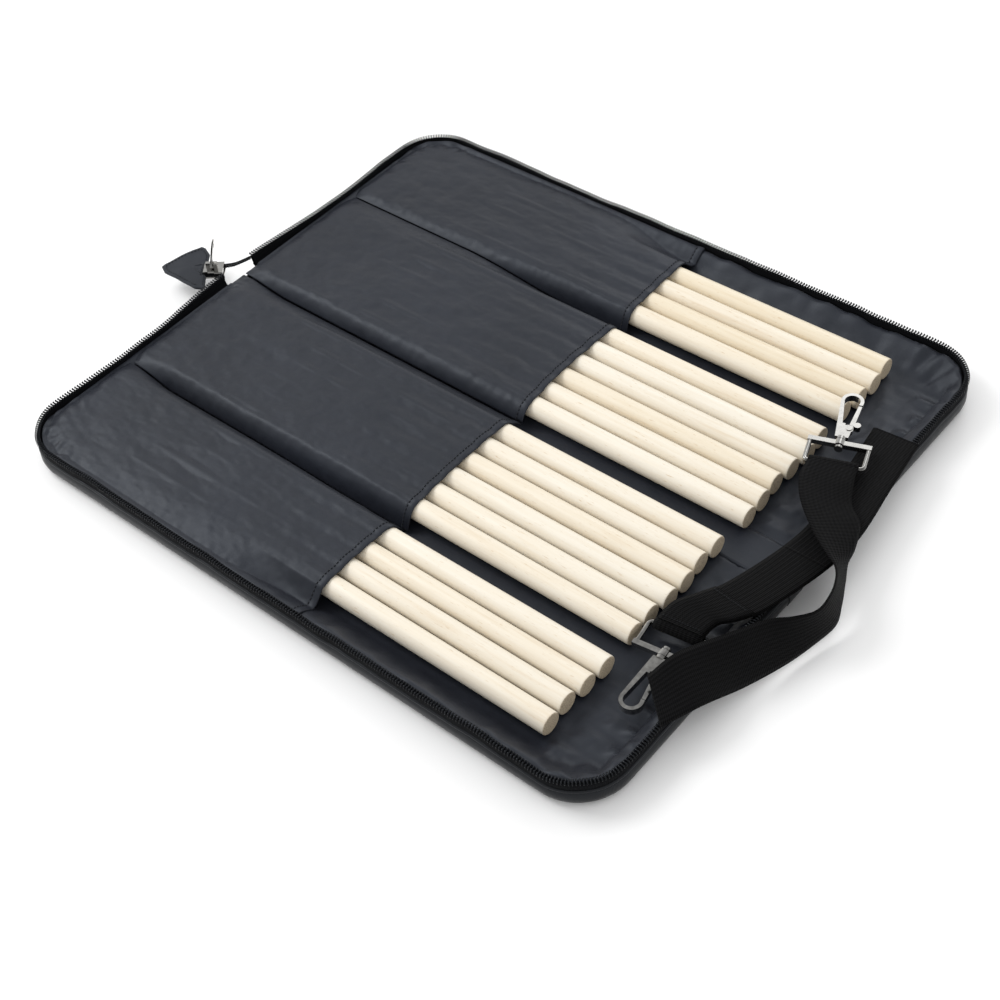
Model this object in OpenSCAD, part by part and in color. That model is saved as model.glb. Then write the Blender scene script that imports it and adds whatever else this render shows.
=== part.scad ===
// Drum stick bag that lies open and flat: two padded halves joined by a spine strip,
// four stick pockets, a coil zip round each half, and two webbing straps with snap hooks.
// Frame: X across the open bag, Y along the sticks, Z up. The origin is the middle of the
// spine, on the surface that the bag lies on. The front half is at -X, the back half at +X.

/* [Bag] */
// Width of one half, from the middle of the spine to the outer wall
half_w = 204; // [203:0.5:206]
// Length of the bag along the sticks
bag_l = 470; // [470:1:474]
// Radius of the four outer corners
corner_r = 34; // [28:1:40]
// Height of the zip teeth above the rest surface
wall_h = 22; // [21.8:0.1:22.2]
// Thickness of the closed bag
closed_t = 52; // [52:0.5:54]

/* [Pockets and sticks] */
// Diameter of a stick
stick_d = 14.4; // [14:0.1:14.6]
// Length of a stick
stick_l = 406; // [402:1:408]
// Distance between the middles of two sticks in one pocket
stick_pitch = 16; // [15.6:0.1:16.2]
// Distance from the middle of the bag to the shared mouth line of the pockets
mouth_y = 20; // [10:1:40]

/* [Straps and hooks] */
// Width of the webbing
strap_w = 30; // [28:0.5:30]
// Thickness of the webbing
strap_t = 1.4; // [1.2:0.1:1.5]
// Diameter of the hook's eye wire
wire_d = 3; // [2.6:0.1:3.2]

/* [Hidden] */
$fn = 64;
eps = 0.01;

// Layers of one half, from the floor up
shell_t = 1.2;
foam_t = 3.2;
lining_t = 0.8;
floor_z = shell_t + foam_t + lining_t;
shell_h = 13;
gusset_h = 14.5;
tape_t = 0.8;
teeth_h = 1.4;
teeth_w = 1.8;

// The bag folds about two lines beside the spine, each at the height fold_z. A closed bag
// is as thick as the spine strip is wide plus the height of the two fold lines.
fold_z = 12;
fold_x = closed_t / 2 - fold_z;
fold_gap = 0.3;

// Where each wall layer lies, as a distance in from the outer wall
gusset_in = 1.2;
gusset_t = 1;
foam_in = 2.4;
lining_in = 2.4;
lining_rim_h = 14;
teeth_in = gusset_in + tape_t / 2 - teeth_w / 2;

// Pockets
pocket_t = 0.8;
pocket_gap = 0.3;
pocket_slope = 7;
stick_r = stick_d / 2;
stick_z = floor_z + 0.4 + stick_r;
pocket_z = stick_z + stick_r + 0.6 + pocket_t;
butt_y = -183;
inner_sticks = 6;
outer_sticks = 4;
first_stick_x = 15;
first_outer_x = 123;
seam_x = 109.5;
pocket_end_y = bag_l / 2 - 6;

// Zip end beyond the spine, in a frame that is turned towards the front half
tail_y = bag_l / 2 + 3;
tail_turn = 38;
tail_z = 17;
slider_y = 10;
slider_w = 10;
slider_l = 14;
plate_t = 1.2;
channel_h = 3.6;
bar_z = tail_z + channel_h / 2 + plate_t + 2.1;
bar_y = slider_y + 8;
puller_lean = 76;

// Hooks, measured from the middle of the bar that the webbing is sewn round
wire_r = wire_d / 2;
loop_r = 3.6;
eye_corner_r = 2.5;
eye_half_w = strap_w / 2 + eye_corner_r + 0.2;
boss_u = 16;
boss_l = 4;
boss_r = 3.2;
shank_r = 1.6;
body_u = 22;
nose_u = 54;
nose_r = 7;
nose_hole_r = 4.8;
hook_t = 4.6;
rivet_u = 30;
rivet_v = 2.8;
rivet_r = 1.1;
spring_v = 1.5;
gate_end_u = 51;

// Hook of the back strap, which lies on the front half: bar position, heading and slope
back_hook_at = [-82.4, -203.2, 17];
back_hook_turn = 188;
back_hook_slope = 0;
// Hook of the front strap, which lies on the back half
front_hook_at = [66.6, -207.8, 28.4];
front_hook_turn = 20;
front_hook_slope = 0;

// Routes of the two straps: the two edges of the webbing at each station. Each strap is
// cut at the middle of the spine, so that each part lies on one half.
back_strap_route = [
  [[112, -208, 23], [114, -238, 23]],
  [[75, -213, 23], [76, -243, 23]],
  [[30, -219, 23], [31, -249, 23]],
  [[0, -217, 23], [0, -247, 23]],
  [[-40, -207, 23.2], [-43, -237, 23.2]],
  [[-58, -198, 23.2], [-61, -228, 23.2]],
  [[-70, -190, 21.5], [-69, -220, 21.5]],
  [[-84.5, -188.4, 19.6], [-80.3, -218, 19.6]],
];
back_strap_cut = 3;
front_strap_route = [
  [[-122, -211, 26], [-144, -236, 23.4]],
  [[-104, -218, 33], [-117, -245, 21]],
  [[-78, -232, 33], [-88, -251, 10]],
  [[-56, -243, 31], [-58, -258, 4]],
  [[-45, -254, 31], [-36.5, -263, 4]],
  [[-35, -261.5, 32], [-20, -266, 6]],
  [[-23.5, -262, 34], [-8.5, -262.5, 10]],
  [[-12.8, -259, 36], [5, -256, 13]],
  [[-6, -253.5, 37], [13.8, -252, 18]],
  [[0.2, -243.8, 36], [21.1, -251.6, 23.6]],
  [[14.6, -224.6, 33], [36.6, -245.2, 26.6]],
  [[30.4, -207.7, 32], [46.2, -233.7, 27.4]],
  [[46, -197.5, 31.2], [59, -226.5, 30]],
  [[61.5, -193.6, 31], [71.7, -222, 31]],
];
front_strap_cut = 7;

front_sticks = inner_sticks + outer_sticks;
function stick_x(i) = i < outer_sticks
  ? first_outer_x + (outer_sticks - 1 - i) * stick_pitch
  : first_stick_x + (front_sticks - 1 - i) * stick_pitch;
// A stick's end is a little in or out of line with its neighbours
function butt_shift(i) = 1.2 * sin(97 * i);
function stick_name(i) = str("stick_", i + 1);

half_nodes = ["shell", "foam", "lining", "gusset", "zip_tape", "zip_teeth", "pocket_inner",
  "pocket_outer"];
hook_nodes = ["eye", "hook_body", "hook_gate", "hook_rivet", "hook_spring"];

// ---------------------------------------------------------------- helpers

// Draws the same thing on the back half, or mirrored on the front half
module on_half(side) {
  if (side == "back") children();
  else mirror([1, 0, 0]) children();
}

// Outline of the back half, inset from its outer wall, from x_from outwards
module half_outline(inset, x_from) {
  x_out = half_w - inset;
  y_out = bag_l / 2 - inset;
  r = corner_r - inset;
  translate([x_from, -y_out]) square([x_out - r - x_from, 2 * y_out]);
  translate([x_from, r - y_out]) square([x_out - x_from, 2 * (y_out - r)]);
  for (s = [-1, 1]) translate([x_out - r, s * (y_out - r)]) circle(r);
}

module half_slab(inset, z_low, z_high) {
  translate([0, 0, z_low]) linear_extrude(z_high - z_low)
    half_outline(inset, fold_x + fold_gap);
}

// A wall round the three outer sides of the back half
module half_wall(inset, t, z_low, z_high) {
  translate([0, 0, z_low]) linear_extrude(z_high - z_low) difference() {
    half_outline(inset, fold_x + fold_gap);
    half_outline(inset + t, fold_x - 1);
  }
}

// A round rod from p to q
module rod(p, q, r) {
  d = q - p;
  l = norm(d);
  translate(p) rotate([0, acos(d.z / l), atan2(d.y, d.x)]) cylinder(r = r, h = l);
}

// Webbing of thickness t along stations [edge point, other edge point]
module webbing(route, first, last, t) {
  n = len(route) - 1;
  mids = [for (s = route) (s[0] + s[1]) / 2];
  function face_normal(i) = let (
    along = mids[min(i + 1, n)] - mids[max(i - 1, 0)],
    c = cross(route[i][1] - route[i][0], along)) c / norm(c);
  points = [for (i = [first : last]) let (h = face_normal(i) * t / 2)
    each [route[i][0] - h, route[i][0] + h, route[i][1] + h, route[i][1] - h]];
  rings = last - first;
  // both broad faces are split along the same diagonal
  sides = [for (i = [0 : rings - 1], k = [0 : 3])
    let (a = 4 * i + k, b = 4 * i + (k + 1) % 4)
      each k == 3 ? [[a, a + 4, b + 4], [a, b + 4, b]] : [[a, a + 4, b], [b, a + 4, b + 4]]];
  ends = [[0, 1, 2], [0, 2, 3],
    [4 * rings, 4 * rings + 2, 4 * rings + 1], [4 * rings, 4 * rings + 3, 4 * rings + 2]];
  polyhedron(points = points, faces = concat(sides, ends));
}

// ---------------------------------------------------------------- one half

module shell(side) {
  color("#17181c") on_half(side) {
    half_slab(0, 0, shell_t);
    half_wall(0, gusset_in, shell_t, shell_h);
  }
}

module foam(side) {
  color("#55585f") on_half(side) half_slab(foam_in, shell_t, shell_t + foam_t);
}

module lining(side) {
  color("#3b3f47") on_half(side) {
    half_slab(lining_in, shell_t + foam_t, floor_z);
    half_wall(lining_in, lining_t, floor_z, lining_rim_h);
  }
}

module gusset(side) {
  color("#101114") on_half(side) half_wall(gusset_in, gusset_t, shell_t, gusset_h);
}

module zip_tape(side) {
  color("#0c0c0e") on_half(side)
    half_wall(gusset_in, tape_t, gusset_h, wall_h - teeth_h);
}

module zip_teeth(side) {
  color("#26282c") on_half(side)
    half_wall(teeth_in, teeth_w, wall_h - teeth_h, wall_h);
}

// A raised sheet over a row of sticks, sewn down at x_a and x_b, with its mouth at -Y
module pocket(x_a, x_b, rise_a, rise_b) {
  z_low = floor_z + pocket_gap;
  module profile(t) {
    polygon([
      [x_a + t, z_low - eps * sign(t)], [x_a + rise_a + t, pocket_z - t],
      [x_b - rise_b - t, pocket_z - t], [x_b - t, z_low - eps * sign(t)],
    ]);
  }
  module along_y(y_low, y_high) {
    translate([0, y_high, 0]) rotate([90, 0, 0]) linear_extrude(y_high - y_low) children();
  }
  along_y(-mouth_y, pocket_end_y - pocket_t) difference() {
    profile(0);
    profile(pocket_t);
  }
  along_y(pocket_end_y - pocket_t, pocket_end_y) profile(0);
}

module pocket_inner(side) {
  color("#3f434b") on_half(side) pocket(1, seam_x - 0.5, pocket_slope, pocket_slope);
}

// The outer pocket's far end follows the rounded corner of the wall
module pocket_outer(side) {
  color("#3f434b") on_half(side) intersection() {
    pocket(seam_x + 0.5, half_w - 4.5, pocket_slope, 18);
    half_slab(lining_in + lining_t + 0.6, 0, closed_t);
  }
}

// ---------------------------------------------------------------- spine and zip end

module spine_shell() {
  color("#17181c") translate([fold_gap - fold_x, -bag_l / 2 + 2, 0])
    cube([2 * (fold_x - fold_gap), bag_l - 4, shell_t]);
}

module spine_lining() {
  color("#3b3f47") translate([fold_gap - fold_x, -bag_l / 2 + 2, shell_t])
    cube([2 * (fold_x - fold_gap), bag_l - 4, floor_z - shell_t]);
}

module at_tail() {
  translate([0, tail_y, 0]) rotate(tail_turn) children();
}

// Inner edge of a tape in the tail frame, as the zip runs from the halves to the slider
tail_edge = [[2.2, slider_y + 1], [1.9, slider_y + 4], [1.2, slider_y + 8],
  [1.2, slider_y + slider_l + 0.5]];
tape_w = 4;

module tail_strip(offset_in, width, z_low, z_high) {
  translate([0, 0, z_low]) linear_extrude(z_high - z_low) for (s = [-1, 1]) {
    // start of the strip at the end of the spine, seen from the turned frame
    start = [cos(tail_turn) * s * (fold_x - 1.5), -sin(tail_turn) * s * (fold_x - 1.5)];
    polygon(concat(
      [[start.x + s * offset_in, start.y]],
      [for (p = tail_edge) [s * (p.x + offset_in), p.y]],
      [for (i = [len(tail_edge) - 1 : -1 : 0])
        [s * (tail_edge[i].x + offset_in + width), tail_edge[i].y]],
      [[start.x + s * (offset_in + min(width, 3)), start.y]]));
  }
}

module zip_tail_tape() {
  color("#0c0c0e") at_tail() tail_strip(0.6, tape_w, tail_z - 0.4, tail_z + 0.4);
}

module zip_tail_teeth() {
  color("#26282c") at_tail() tail_strip(0, 1.6, tail_z + 0.4, tail_z + 1.5);
}

// Folded cloth tab behind the slider, notched clear of it
module zip_end_tab() {
  rear = slider_y + slider_l;
  notch_w = slider_w / 2 + 2;
  color("#33373e") at_tail() translate([0, 0, tail_z - 1]) linear_extrude(2) polygon([
    [-20, rear - 3], [-notch_w, rear - 2], [-notch_w, rear + 0.8], [notch_w, rear + 0.8],
    [notch_w, rear - 1], [18, rear - 1], [25, rear + 3], [27, rear + 6], [12, rear + 31],
    [9, rear + 33], [3, rear + 30], [-11, rear + 14], [-19, rear + 4],
  ]);
}

module slider() {
  bridge_w = 2.4;
  bridge_l = 8;
  bridge_h = 4.4;
  color("#c9ccd0") at_tail() difference() {
    union() {
      for (z = [tail_z - channel_h / 2 - plate_t, tail_z + channel_h / 2])
        translate([0, 0, z]) linear_extrude(plate_t) {
          translate([-slider_w / 2, slider_y + 4]) square([slider_w, slider_l - 4]);
          translate([-slider_w / 2 - 1, slider_y]) square([slider_w + 2, 6]);
        }
      translate([0, slider_y + 2, tail_z - channel_h / 2 - eps])
        cylinder(r = 1.5, h = channel_h + 2 * eps);
      translate([-bridge_w / 2, bar_y - bridge_l / 2, tail_z + channel_h / 2])
        cube([bridge_w, bridge_l, plate_t + bridge_h]);
    }
    translate([-5, bar_y, bar_z]) rotate([0, 90, 0]) cylinder(r = 0.98, h = 10);
  }
}

module puller() {
  arm_in = 1.5;
  arm_t = 1.2;
  tab_w = 9;
  tab_from = 5.2;
  tab_l = 17;
  tab_t = 1.2;
  color("#c9ccd0") at_tail() translate([0, bar_y, bar_z]) {
    translate([-arm_in - arm_t, 0, 0]) rotate([0, 90, 0])
      cylinder(r = 0.9, h = 2 * (arm_in + arm_t));
    rotate([180 - puller_lean, 0, 0]) {
      for (s = [-1, 1]) translate([s * (arm_in + arm_t / 2) - arm_t / 2, 0, 0]) {
        rotate([0, 90, 0]) cylinder(r = 1.2, h = arm_t);
        translate([0, 0, -tab_t / 2]) cube([arm_t, tab_from + 2, tab_t]);
      }
      translate([0, 0, -tab_t / 2]) linear_extrude(tab_t) difference() {
        union() {
          translate([-tab_w / 2, tab_from]) square([tab_w, tab_l - tab_w / 2]);
          translate([0, tab_from + tab_l - tab_w / 2]) circle(tab_w / 2);
        }
        translate([0, tab_from + tab_l - tab_w / 2]) circle(1.8);
      }
    }
  }
}

// ---------------------------------------------------------------- straps and hooks

// Places a hook: u (its length) along +X, v across it along +Y, w along +Z
module at_hook(strap) {
  back = strap == "back_strap";
  translate(back ? back_hook_at : front_hook_at)
    rotate([0, 0, back ? back_hook_turn : front_hook_turn])
      rotate([0, back ? back_hook_slope : front_hook_slope, 0])
        rotate([back ? 0 : 180, 0, 0]) children();
}

// The end of the webbing, folded and sewn round the bar of the eye
module sewn_loop(strap) {
  at_hook(strap) rotate([90, 0, 0]) difference() {
    cylinder(r = loop_r, h = strap_w, center = true);
    cylinder(r = wire_r + 0.3, h = strap_w + 2, center = true);
  }
}

module back_strap_base() {
  color("#141517") webbing(back_strap_route, 0, back_strap_cut, strap_t);
}

module back_strap_end() {
  color("#141517") {
    webbing(back_strap_route, back_strap_cut, len(back_strap_route) - 1, strap_t);
    sewn_loop("back_strap");
  }
}

module front_strap_base() {
  color("#141517") webbing(front_strap_route, 0, front_strap_cut, strap_t);
}

module front_strap_end() {
  color("#141517") {
    webbing(front_strap_route, front_strap_cut, len(front_strap_route) - 1, strap_t);
    sewn_loop("front_strap");
  }
}

// Wire eye: a bar for the webbing, two legs, and a boss that the hook turns in
module eye(strap) {
  corner = eye_corner_r;
  color("#cfd2d6") at_hook(strap) difference() {
    union() {
      rod([0, corner - eye_half_w, 0], [0, eye_half_w - corner, 0], wire_r);
      for (s = [-1, 1]) {
        // quarter bend from the bar into the leg
        translate([corner, s * (eye_half_w - corner), 0]) rotate(s > 0 ? 90 : 180)
          rotate_extrude(angle = 90) translate([corner, 0]) circle(wire_r);
        rod([corner, s * eye_half_w, 0], [boss_u + 2, s * eye_half_w, 0], wire_r);
      }
      translate([boss_u, -eye_half_w - wire_r, -wire_r - 0.3])
        cube([3.4, 2 * (eye_half_w + wire_r), 2 * wire_r + 0.6]);
      rod([boss_u - 0.3, 0, 0], [boss_u + boss_l, 0, 0], boss_r);
    }
    rod([boss_u - 2, 0, 0], [boss_u + boss_l + 2, 0, 0], shank_r + 0.08);
  }
}

// Side view of the hook, before the gate's opening is cut
module hook_outline() {
  difference() {
    union() {
      polygon([[body_u, -4], [nose_u, -nose_r], [nose_u, nose_r], [body_u, 4]]);
      translate([nose_u, 0]) circle(nose_r);
    }
    translate([nose_u, 0]) circle(nose_hole_r);
    polygon([[body_u + 12, -1.9], [nose_u, -nose_hole_r], [nose_u, nose_hole_r],
      [body_u + 12, 1.9]]);
    // opening that the gate closes
    translate([rivet_u + 2.6, 0]) square([gate_end_u - rivet_u - 2.2, 20]);
  }
}

module hook_body(strap) {
  slot_t = 3;
  color("#cfd2d6") at_hook(strap) difference() {
    union() {
      translate([0, 0, -hook_t / 2]) linear_extrude(hook_t) hook_outline();
      rod([boss_u - 2.5, 0, 0], [boss_u - 1, 0, 0], shank_r + 1);
      rod([boss_u - 2, 0, 0], [body_u + 1, 0, 0], shank_r);
      rod([boss_u + boss_l + 0.3, 0, 0], [body_u + 0.5, 0, 0], shank_r + 1.6);
    }
    // slot for the root of the gate
    translate([rivet_u - 3.6, 0.1, -slot_t / 2]) cube([8, 12, slot_t]);
    translate([rivet_u, rivet_v, -5]) cylinder(r = rivet_r, h = 10);
    // pocket for the spring
    rod([rivet_u - 6.6, spring_v, 0], [rivet_u, spring_v, 0], 1.25);
  }
}

module hook_gate(strap) {
  root_t = 2.8;
  beam_t = 3.8;
  color("#cfd2d6") at_hook(strap) difference() {
    union() {
      translate([rivet_u, rivet_v, -root_t / 2]) cylinder(r = 2.5, h = root_t);
      translate([rivet_u, rivet_v - 1.6, -root_t / 2]) cube([4, 4, root_t]);
      translate([0, 0, -beam_t / 2]) linear_extrude(beam_t) polygon([
        [rivet_u + 3.2, 2.4], [gate_end_u - 0.2, 4.4], [gate_end_u - 0.2, 6.6],
        [rivet_u + 3.2, 5.4],
      ]);
      // thumb knob
      translate([rivet_u + 4.4, 7, -beam_t / 2]) cylinder(r = 2.2, h = beam_t);
    }
    translate([rivet_u, rivet_v, -5]) cylinder(r = rivet_r + 0.05, h = 10);
  }
}

module hook_rivet(strap) {
  color("#b9bcc1") at_hook(strap) {
    translate([rivet_u, rivet_v, -hook_t / 2 - 0.5]) cylinder(r = rivet_r, h = hook_t + 1);
    for (z = [-hook_t / 2 - 0.5, hook_t / 2])
      translate([rivet_u, rivet_v, z]) cylinder(r = rivet_r + 0.7, h = 0.5);
  }
}

module hook_spring(strap) {
  color("#8d9096") at_hook(strap) difference() {
    rod([rivet_u - 6.4, spring_v, 0], [rivet_u - 3.2, spring_v, 0], 1.1);
    rod([rivet_u - 7, spring_v, 0], [rivet_u, spring_v, 0], 0.6);
  }
}

// ---------------------------------------------------------------- sticks

// One stick with its butt end at -Y; the shoulder and the bead are in the pocket
module stick(i) {
  side = i < front_sticks ? -1 : 1;
  x = side * (i < front_sticks ? stick_x(i) : stick_x(2 * front_sticks - 1 - i));
  bead_r = 4.6;
  bead_half = 9;
  neck_r = 3.2;
  bead = [for (a = [-50 : 20 : 70])
    [bead_r * cos(a), stick_l - bead_half + bead_half * sin(a)]];
  color("#e9dcc0") translate([x, butt_y + butt_shift(i), stick_z]) rotate([-90, 0, 0])
    rotate_extrude() polygon(concat(
      [[0, 0], [stick_r - 0.8, 0], [stick_r - 0.2, 0.25], [stick_r, 0.9],
        [stick_r, stick_l * 0.75], [stick_r * 0.82, stick_l * 0.85],
        [neck_r, stick_l - 2.1 * bead_half]],
      bead,
      [[1.2, stick_l], [0, stick_l]]));
}

shell("back");  // back_shell
foam("back");  // back_foam
lining("back");  // back_lining
gusset("back");  // back_gusset
zip_tape("back");  // back_zip_tape
zip_teeth("back");  // back_zip_teeth
pocket_inner("back");  // back_pocket_inner
pocket_outer("back");  // back_pocket_outer
shell("front");  // front_shell
foam("front");  // front_foam
lining("front");  // front_lining
gusset("front");  // front_gusset
zip_tape("front");  // front_zip_tape
zip_teeth("front");  // front_zip_teeth
pocket_inner("front");  // front_pocket_inner
pocket_outer("front");  // front_pocket_outer
spine_shell();
spine_lining();
zip_tail_tape();
zip_tail_teeth();
zip_end_tab();
slider();
puller();
back_strap_base();
back_strap_end();
front_strap_base();
front_strap_end();
eye("back_strap");  // back_strap_eye
hook_body("back_strap");  // back_strap_hook_body
hook_gate("back_strap");  // back_strap_hook_gate
hook_rivet("back_strap");  // back_strap_hook_rivet
hook_spring("back_strap");  // back_strap_hook_spring
eye("front_strap");  // front_strap_eye
hook_body("front_strap");  // front_strap_hook_body
hook_gate("front_strap");  // front_strap_hook_gate
hook_rivet("front_strap");  // front_strap_hook_rivet
hook_spring("front_strap");  // front_strap_hook_spring
for (i = [0 : 2 * front_sticks - 1])
  stick(i);
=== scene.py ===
# Drum stick bag lying open. The hard parts and the sticks are the CAD's own nodes; every
# cloth part is built here in the CAD's frame: X across the open bag, Y along the sticks, Z up,
# with the origin under the middle of the spine. Sizes of the bag are in millimetres, and
# mesh_object turns them into metres. side is +1 on the back half and -1 on the front half,
# which mirror each other, so shapes are worked out with x as on the back half.
import math

import bpy
import numpy as np
from mathutils import Matrix, Vector, noise


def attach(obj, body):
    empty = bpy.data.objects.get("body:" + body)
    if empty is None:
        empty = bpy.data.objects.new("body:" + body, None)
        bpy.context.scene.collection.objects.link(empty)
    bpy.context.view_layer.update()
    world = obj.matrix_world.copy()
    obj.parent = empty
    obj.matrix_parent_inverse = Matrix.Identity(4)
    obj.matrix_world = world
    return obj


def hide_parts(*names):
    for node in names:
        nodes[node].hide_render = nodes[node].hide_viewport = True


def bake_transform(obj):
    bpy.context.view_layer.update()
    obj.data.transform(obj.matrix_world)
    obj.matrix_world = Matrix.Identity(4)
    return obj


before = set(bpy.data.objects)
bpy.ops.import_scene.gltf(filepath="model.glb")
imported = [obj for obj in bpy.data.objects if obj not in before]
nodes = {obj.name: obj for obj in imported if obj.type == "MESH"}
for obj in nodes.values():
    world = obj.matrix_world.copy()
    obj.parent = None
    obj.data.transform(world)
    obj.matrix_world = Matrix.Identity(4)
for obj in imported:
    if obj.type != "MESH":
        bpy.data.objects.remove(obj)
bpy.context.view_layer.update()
MM = 0.001

# ------------------------------------------------------------------ sizes, in millimetres
HALF_W, HALF_L, CORNER = 204.0, 235.0, 34.0  # half the open bag's sides, and its corners' radius
FOLD_X, SEAM_X = 14.0, 109.5  # fold lines at the spine's sides, seam between a half's pockets
FLOOR_Z, TEETH_Z = 5.2, 22.0  # top of the lining in the trays, tips of the zip's teeth
MOUTH_Y, POCKET_TOP = -20.0, 20.9
TAIL_Y, TAIL_TURN, TAIL_Z, SLIDER_Y = 238.0, math.radians(38), 17.0, 10.0
STICK_X = [15 + 16 * i for i in range(6)] + [123 + 16 * i for i in range(4)]  # inner, outer group
STICK_R, STICK_Z, STICK_COUNT = 7.2, 12.8, 20
WALL_STEP, COIL_PITCH = 2.4, 2.0
SLIDE_END = -229.0  # how far the sticks' butts can slide out
LINE_STEPS = 24  # points of a smooth line between two stations
WEBBING_HALF = 15.0


# ------------------------------------------------------------------ camera
def make_camera():
    azimuth, elevation, roll = math.radians(-45.0), math.radians(46.5), math.radians(-6.9)
    target, distance = Vector((-0.0517, -0.0456, 0)), 1.0444
    back = Vector((math.sin(azimuth) * math.cos(elevation),
                   -math.cos(azimuth) * math.cos(elevation), math.sin(elevation)))
    right = Vector((math.cos(azimuth), math.sin(azimuth), 0))
    up = back.cross(right)
    side = right * math.cos(roll) + up * math.sin(roll)
    top = up * math.cos(roll) - right * math.sin(roll)
    data = bpy.data.cameras.new("camera")
    data.lens, data.sensor_width = 60.96, 36.0
    data.clip_start, data.clip_end = 0.05, 20
    cam = bpy.data.objects.new("camera", data)
    bpy.context.scene.collection.objects.link(cam)
    m = Matrix.Identity(4)
    for row in range(3):
        m[row][0], m[row][1], m[row][2] = side[row], top[row], back[row]
    m.translation = target + back * distance
    cam.matrix_world = m
    bpy.context.scene.camera = cam


make_camera()


# ------------------------------------------------------------------ materials
def new_material(name):
    m = bpy.data.materials.new(name)
    m.use_nodes = True
    t = m.node_tree
    t.nodes.clear()
    out = t.nodes.new("ShaderNodeOutputMaterial")
    bsdf = t.nodes.new("ShaderNodeBsdfPrincipled")
    t.links.new(bsdf.outputs[0], out.inputs[0])
    return m, t, bsdf


def place(t, scale=(1, 1, 1), rotation=(0, 0, 0), uv=None):
    if uv:
        coord = t.nodes.new("ShaderNodeUVMap")
        coord.uv_map = uv
        source = coord.outputs[0]
    else:
        coord = t.nodes.new("ShaderNodeTexCoord")
        source = coord.outputs["Object"]
    mapping = t.nodes.new("ShaderNodeMapping")
    mapping.inputs["Scale"].default_value = scale
    mapping.inputs["Rotation"].default_value = rotation
    t.links.new(source, mapping.inputs[0])
    return mapping.outputs[0]


def add_noise(t, at, scale, detail=3.0, rough=0.55):
    n = t.nodes.new("ShaderNodeTexNoise")
    n.inputs["Scale"].default_value = scale
    n.inputs["Detail"].default_value = detail
    n.inputs["Roughness"].default_value = rough
    t.links.new(at, n.inputs["Vector"])
    return n.outputs["Fac"]


def ramp(t, fac, stops):
    r = t.nodes.new("ShaderNodeValToRGB")
    while len(r.color_ramp.elements) < len(stops):
        r.color_ramp.elements.new(0.5)
    for e, (p, c) in zip(r.color_ramp.elements, stops):
        e.position, e.color = p, (*c, 1) if len(c) == 3 else c
    t.links.new(fac, r.inputs[0])
    return r.outputs[0]


def grey(v):
    return (v, v, v)


def math_node(t, op, a, b=None):
    n = t.nodes.new("ShaderNodeMath")
    n.operation = op
    for i, x in enumerate((a, b)):
        if x is None:
            continue
        if isinstance(x, (int, float)):
            n.inputs[i].default_value = x
        else:
            t.links.new(x, n.inputs[i])
    return n.outputs[0]


def wave(t, at, scale, axis):
    n = t.nodes.new("ShaderNodeTexWave")
    n.wave_type, n.bands_direction, n.wave_profile = "BANDS", axis, "SIN"
    n.inputs["Scale"].default_value = scale
    n.inputs["Distortion"].default_value = 0.0
    t.links.new(at, n.inputs["Vector"])
    return n.outputs["Fac"]


def bump(t, bsdf, height, strength, distance, under=None):
    b = t.nodes.new("ShaderNodeBump")
    b.inputs["Strength"].default_value = strength
    b.inputs["Distance"].default_value = distance
    t.links.new(height, b.inputs["Height"])
    if under is not None:
        t.links.new(under, b.inputs["Normal"])
    t.links.new(b.outputs[0], bsdf.inputs["Normal"])
    return b.outputs[0]


def wave_scale(pitch):
    """The scale that gives a wave texture one band every pitch: its period is 2 pi / 20 at 1."""
    return 2 * math.pi / pitch / 20.0


def blend_sum(t, a, share_a, b, share_b):
    return math_node(t, "ADD", math_node(t, "MULTIPLY", a, share_a),
                     math_node(t, "MULTIPLY", b, share_b))


def mix_colour(t, a, b, factor=1.0, kind="MULTIPLY"):
    n = t.nodes.new("ShaderNodeMix")
    n.data_type, n.blend_type = "RGBA", kind
    if isinstance(factor, float):
        n.inputs["Factor"].default_value = factor
    else:
        t.links.new(factor, n.inputs["Factor"])
    t.links.new(a, n.inputs["A"])
    t.links.new(b, n.inputs["B"])
    return n.outputs["Result"]


def stretched(t, source, along):
    """Coordinates for a pattern drawn out along Y."""
    n = t.nodes.new("ShaderNodeMapping")
    n.inputs["Scale"].default_value = (1, along, 1)
    t.links.new(source, n.inputs[0])
    return n.outputs[0]


def weave(t, at, pitch):
    """Height of a plain weave with one thread every pitch metres."""
    warp = wave(t, at, wave_scale(pitch), "X")
    weft = wave(t, at, wave_scale(pitch), "Y")
    return math_node(t, "MULTIPLY", warp, weft)


def cloth_material(name, dark, light, rough, pitch, sheen=0.0, strength=0.25, coat=0.0,
                   wrinkle=0.0, gloss=0.3):
    m, t, s = new_material(name)
    at = place(t)
    broad = add_noise(t, at, 9.0, 3.0)
    fine = add_noise(t, at, 140.0, 4.0)
    mixed = blend_sum(t, broad, 0.7, fine, 0.3)
    t.links.new(ramp(t, mixed, [(0.3, dark), (0.7, light)]), s.inputs["Base Color"])
    worn = ramp(t, fine, [(0.2, grey(rough - 0.05)), (0.8, grey(rough + 0.07))])
    t.links.new(worn, s.inputs["Roughness"])
    s.inputs["Sheen Weight"].default_value = sheen
    s.inputs["Sheen Roughness"].default_value = 0.4
    s.inputs["Specular IOR Level"].default_value = gloss
    s.inputs["Specular Tint"].default_value = (0.84, 0.91, 1.0, 1)
    s.inputs["Coat Weight"].default_value = coat
    s.inputs["Coat Roughness"].default_value = 0.35
    under = None
    if wrinkle:
        creases = add_noise(t, place(t, (1.0, 0.45, 1.0)), 26.0, 4.0, 0.6)
        under = bump(t, s, creases, wrinkle, 0.004)
    bump(t, s, weave(t, at, pitch), strength, 0.0002, under)
    return m


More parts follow.
